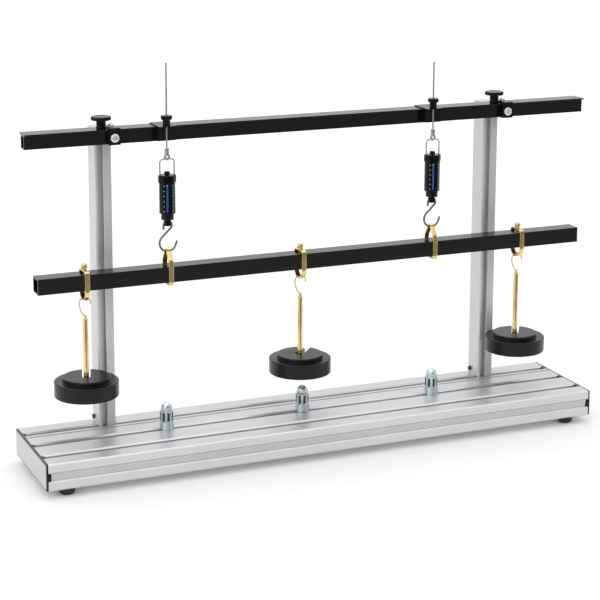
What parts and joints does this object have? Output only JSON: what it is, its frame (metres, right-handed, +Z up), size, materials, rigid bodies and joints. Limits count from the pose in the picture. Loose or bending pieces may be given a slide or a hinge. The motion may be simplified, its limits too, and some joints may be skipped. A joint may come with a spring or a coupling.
{
  "type": "lever beam apparatus",
  "caption": "Lever beam hung from two spring balances under a crossbar, with slotted weights on sliding stirrups, over a slotted base with two uprights",
  "frame": {"origin": "middle of the base profile's underside, which is 11.5 mm above the table", "axes": "+X along the beam to the right, +Y to the uprights behind the beam, +Z up"},
  "size_m": [0.901, 0.168, 0.592],
  "materials": {
    "silver_aluminium": "satin anodised",
    "black_anodised": "semi-gloss black",
    "black_steel": "satin black",
    "black_enamel": "semi-gloss black",
    "black_plastic": "matte",
    "black_gloss": "gloss",
    "blue_scale": "gloss with plain marks",
    "black_rubber": "matte",
    "zinc_steel": "zinc plated",
    "brass": "polished"
  },
  "bodies": {
    "frame": {"base_profile": "silver_aluminium", "end_plates": "black_plastic", "end_covers": "silver_aluminium", "slot_strip": "silver_aluminium", "feet": "black_rubber", "upright_left": "silver_aluminium", "upright_right": "silver_aluminium", "upright_caps": "silver_aluminium", "foot_bolts": "black_steel", "crossbar": "black_anodised", "clamp_blocks": "black_anodised", "clamp_arms": "black_steel", "clamp_jaws": "black_steel", "clamp_screws": "zinc_steel", "clamp_nuts": "zinc_steel"},
    "carrier": {"weight_stirrup_middle": "brass", "stirrup_screw_middle": "brass"},
    "beam_body": {"beam": "black_anodised"},
    "slider_body_left": {"slider_left": "black_steel"},
    "balance_left": {"lift_rod_left": "zinc_steel", "clevis_left": "zinc_steel", "bail_left": "zinc_steel", "balance_body_left": "black_gloss", "zero_knob_left": "black_gloss", "scale_strip_left": "blue_scale", "balance_spring_left": "zinc_steel"},
    "nut_left": {"lift_nut_left": "black_steel"},
    "plunger_body_left": {"plunger_left": "black_gloss", "s_hook_left": "zinc_steel"},
    "loop_left": {"hanging_stirrup_left": "brass"},
    "slider_body_right": {"slider_right": "black_steel"},
    "balance_right": {"lift_rod_right": "zinc_steel", "clevis_right": "zinc_steel", "bail_right": "zinc_steel", "balance_body_right": "black_gloss", "zero_knob_right": "black_gloss", "scale_strip_right": "blue_scale", "balance_spring_right": "zinc_steel"},
    "nut_right": {"lift_nut_right": "black_steel"},
    "plunger_body_right": {"plunger_right": "black_gloss", "s_hook_right": "zinc_steel"},
    "loop_right": {"hanging_stirrup_right": "brass"},
    "stirrup_left": {"weight_stirrup_left": "brass", "stirrup_screw_left": "brass"},
    "hanger_body_left": {"hanger_left": "brass"},
    "mass_left": {"weight_left": "black_enamel"},
    "hanger_body_middle": {"hanger_middle": "brass"},
    "mass_middle": {"weight_middle": "black_enamel"},
    "stirrup_right": {"weight_stirrup_right": "brass", "stirrup_screw_right": "brass"},
    "hanger_body_right": {"hanger_right": "brass"},
    "mass_right": {"weight_right": "black_enamel"},
    "peg_body_left": {"peg_left": "zinc_steel"},
    "peg_body_middle": {"peg_middle": "zinc_steel"},
    "peg_body_right": {"peg_right": "zinc_steel"},
    "knob_left": {"clamp_knob_left": "black_plastic"},
    "knob_right": {"clamp_knob_right": "black_plastic"}
  },
  "joints": [
    {"name": "beam_height", "type": "slide", "parent": "frame", "child": "carrier", "axis": [0, 0, 1], "range_m": [-0.01, 0.007]},
    {"name": "beam_tilt", "type": "hinge", "parent": "carrier", "child": "beam_body", "pos_m": [-0.022, -0.003, 0.2755], "axis": [0, 1, 0], "range_deg": [-1, 1]},
    {"name": "slider_left_travel", "type": "slide", "parent": "frame", "child": "slider_body_left", "axis": [1, 0, 0], "range_m": [-0.015, 0.015]},
    {"name": "lift_left", "type": "slide", "parent": "slider_body_left", "child": "balance_left", "axis": [0, 0, 1], "range_m": [-0.01, 0.007]},
    {"name": "lift_nut_left_turn", "type": "hinge", "parent": "slider_body_left", "child": "nut_left", "pos_m": [-0.229, -0.003, 0.498], "axis": [0, 0, 1], "range_deg": [-180, 180]},
    {"name": "plunger_left_travel", "type": "slide", "parent": "balance_left", "child": "plunger_body_left", "axis": [0, 0, 1], "range_m": [-0.004, 0.004], "deforming": ["balance_spring_left"]},
    {"name": "hanging_stirrup_left_travel", "type": "slide", "parent": "beam_body", "child": "loop_left", "axis": [1, 0, 0], "range_m": [-0.015, 0.015]},
    {"name": "slider_right_travel", "type": "slide", "parent": "frame", "child": "slider_body_right", "axis": [1, 0, 0], "range_m": [-0.015, 0.015]},
    {"name": "lift_right", "type": "slide", "parent": "slider_body_right", "child": "balance_right", "axis": [0, 0, 1], "range_m": [-0.01, 0.007]},
    {"name": "lift_nut_right_turn", "type": "hinge", "parent": "slider_body_right", "child": "nut_right", "pos_m": [0.195, -0.003, 0.498], "axis": [0, 0, 1], "range_deg": [-180, 180]},
    {"name": "plunger_right_travel", "type": "slide", "parent": "balance_right", "child": "plunger_body_right", "axis": [0, 0, 1], "range_m": [-0.004, 0.004], "deforming": ["balance_spring_right"]},
    {"name": "hanging_stirrup_right_travel", "type": "slide", "parent": "beam_body", "child": "loop_right", "axis": [1, 0, 0], "range_m": [-0.015, 0.015]},
    {"name": "weight_stirrup_left_travel", "type": "slide", "parent": "beam_body", "child": "stirrup_left", "axis": [1, 0, 0], "range_m": [-0.03, 0.04]},
    {"name": "hanger_left_swing", "type": "hinge", "parent": "stirrup_left", "child": "hanger_body_left", "pos_m": [-0.354, -0.003, 0.243], "axis": [0, 1, 0], "range_deg": [-8, 8]},
    {"name": "weight_left_lift", "type": "slide", "parent": "hanger_body_left", "child": "mass_left", "axis": [0, 0, 1], "range_m": [0, 0.04]},
    {"name": "hanger_middle_swing", "type": "hinge", "parent": "carrier", "child": "hanger_body_middle", "pos_m": [-0.022, -0.003, 0.243], "axis": [0, 1, 0], "range_deg": [-8, 8]},
    {"name": "weight_middle_lift", "type": "slide", "parent": "hanger_body_middle", "child": "mass_middle", "axis": [0, 0, 1], "range_m": [0, 0.04]},
    {"name": "weight_stirrup_right_travel", "type": "slide", "parent": "beam_body", "child": "stirrup_right", "axis": [1, 0, 0], "range_m": [-0.03, 0.04]},
    {"name": "hanger_right_swing", "type": "hinge", "parent": "stirrup_right", "child": "hanger_body_right", "pos_m": [0.346, -0.003, 0.243], "axis": [0, 1, 0], "range_deg": [-8, 8]},
    {"name": "weight_right_lift", "type": "slide", "parent": "hanger_body_right", "child": "mass_right", "axis": [0, 0, 1], "range_m": [0, 0.04]},
    {"name": "peg_left_travel", "type": "slide", "parent": "frame", "child": "peg_body_left", "axis": [1, 0, 0], "range_m": [-0.02, 0.05]},
    {"name": "peg_middle_travel", "type": "slide", "parent": "frame", "child": "peg_body_middle", "axis": [1, 0, 0], "range_m": [-0.05, 0.05]},
    {"name": "peg_right_travel", "type": "slide", "parent": "frame", "child": "peg_body_right", "axis": [1, 0, 0], "range_m": [-0.05, 0.02]},
    {"name": "clamp_knob_left_turn", "type": "hinge", "parent": "frame", "child": "knob_left", "pos_m": [-0.319, 0.0185, 0.5], "axis": [0, 0, 1], "range_deg": [-180, 180]},
    {"name": "clamp_knob_right_turn", "type": "hinge", "parent": "frame", "child": "knob_right", "pos_m": [0.311, 0.0185, 0.5], "axis": [0, 0, 1], "range_deg": [-180, 180]}
  ],
  "couplings": [
    {"joint": "lift_left", "follows": "beam_height", "ratio": 1},
    {"joint": "plunger_left_travel", "follows": "beam_tilt", "m_per_rad": 0.207},
    {"joint": "hanging_stirrup_left_travel", "follows": "slider_left_travel", "ratio": 1},
    {"joint": "lift_right", "follows": "beam_height", "ratio": 1},
    {"joint": "plunger_right_travel", "follows": "beam_tilt", "m_per_rad": -0.217},
    {"joint": "hanging_stirrup_right_travel", "follows": "slider_right_travel", "ratio": 1}
  ]
}
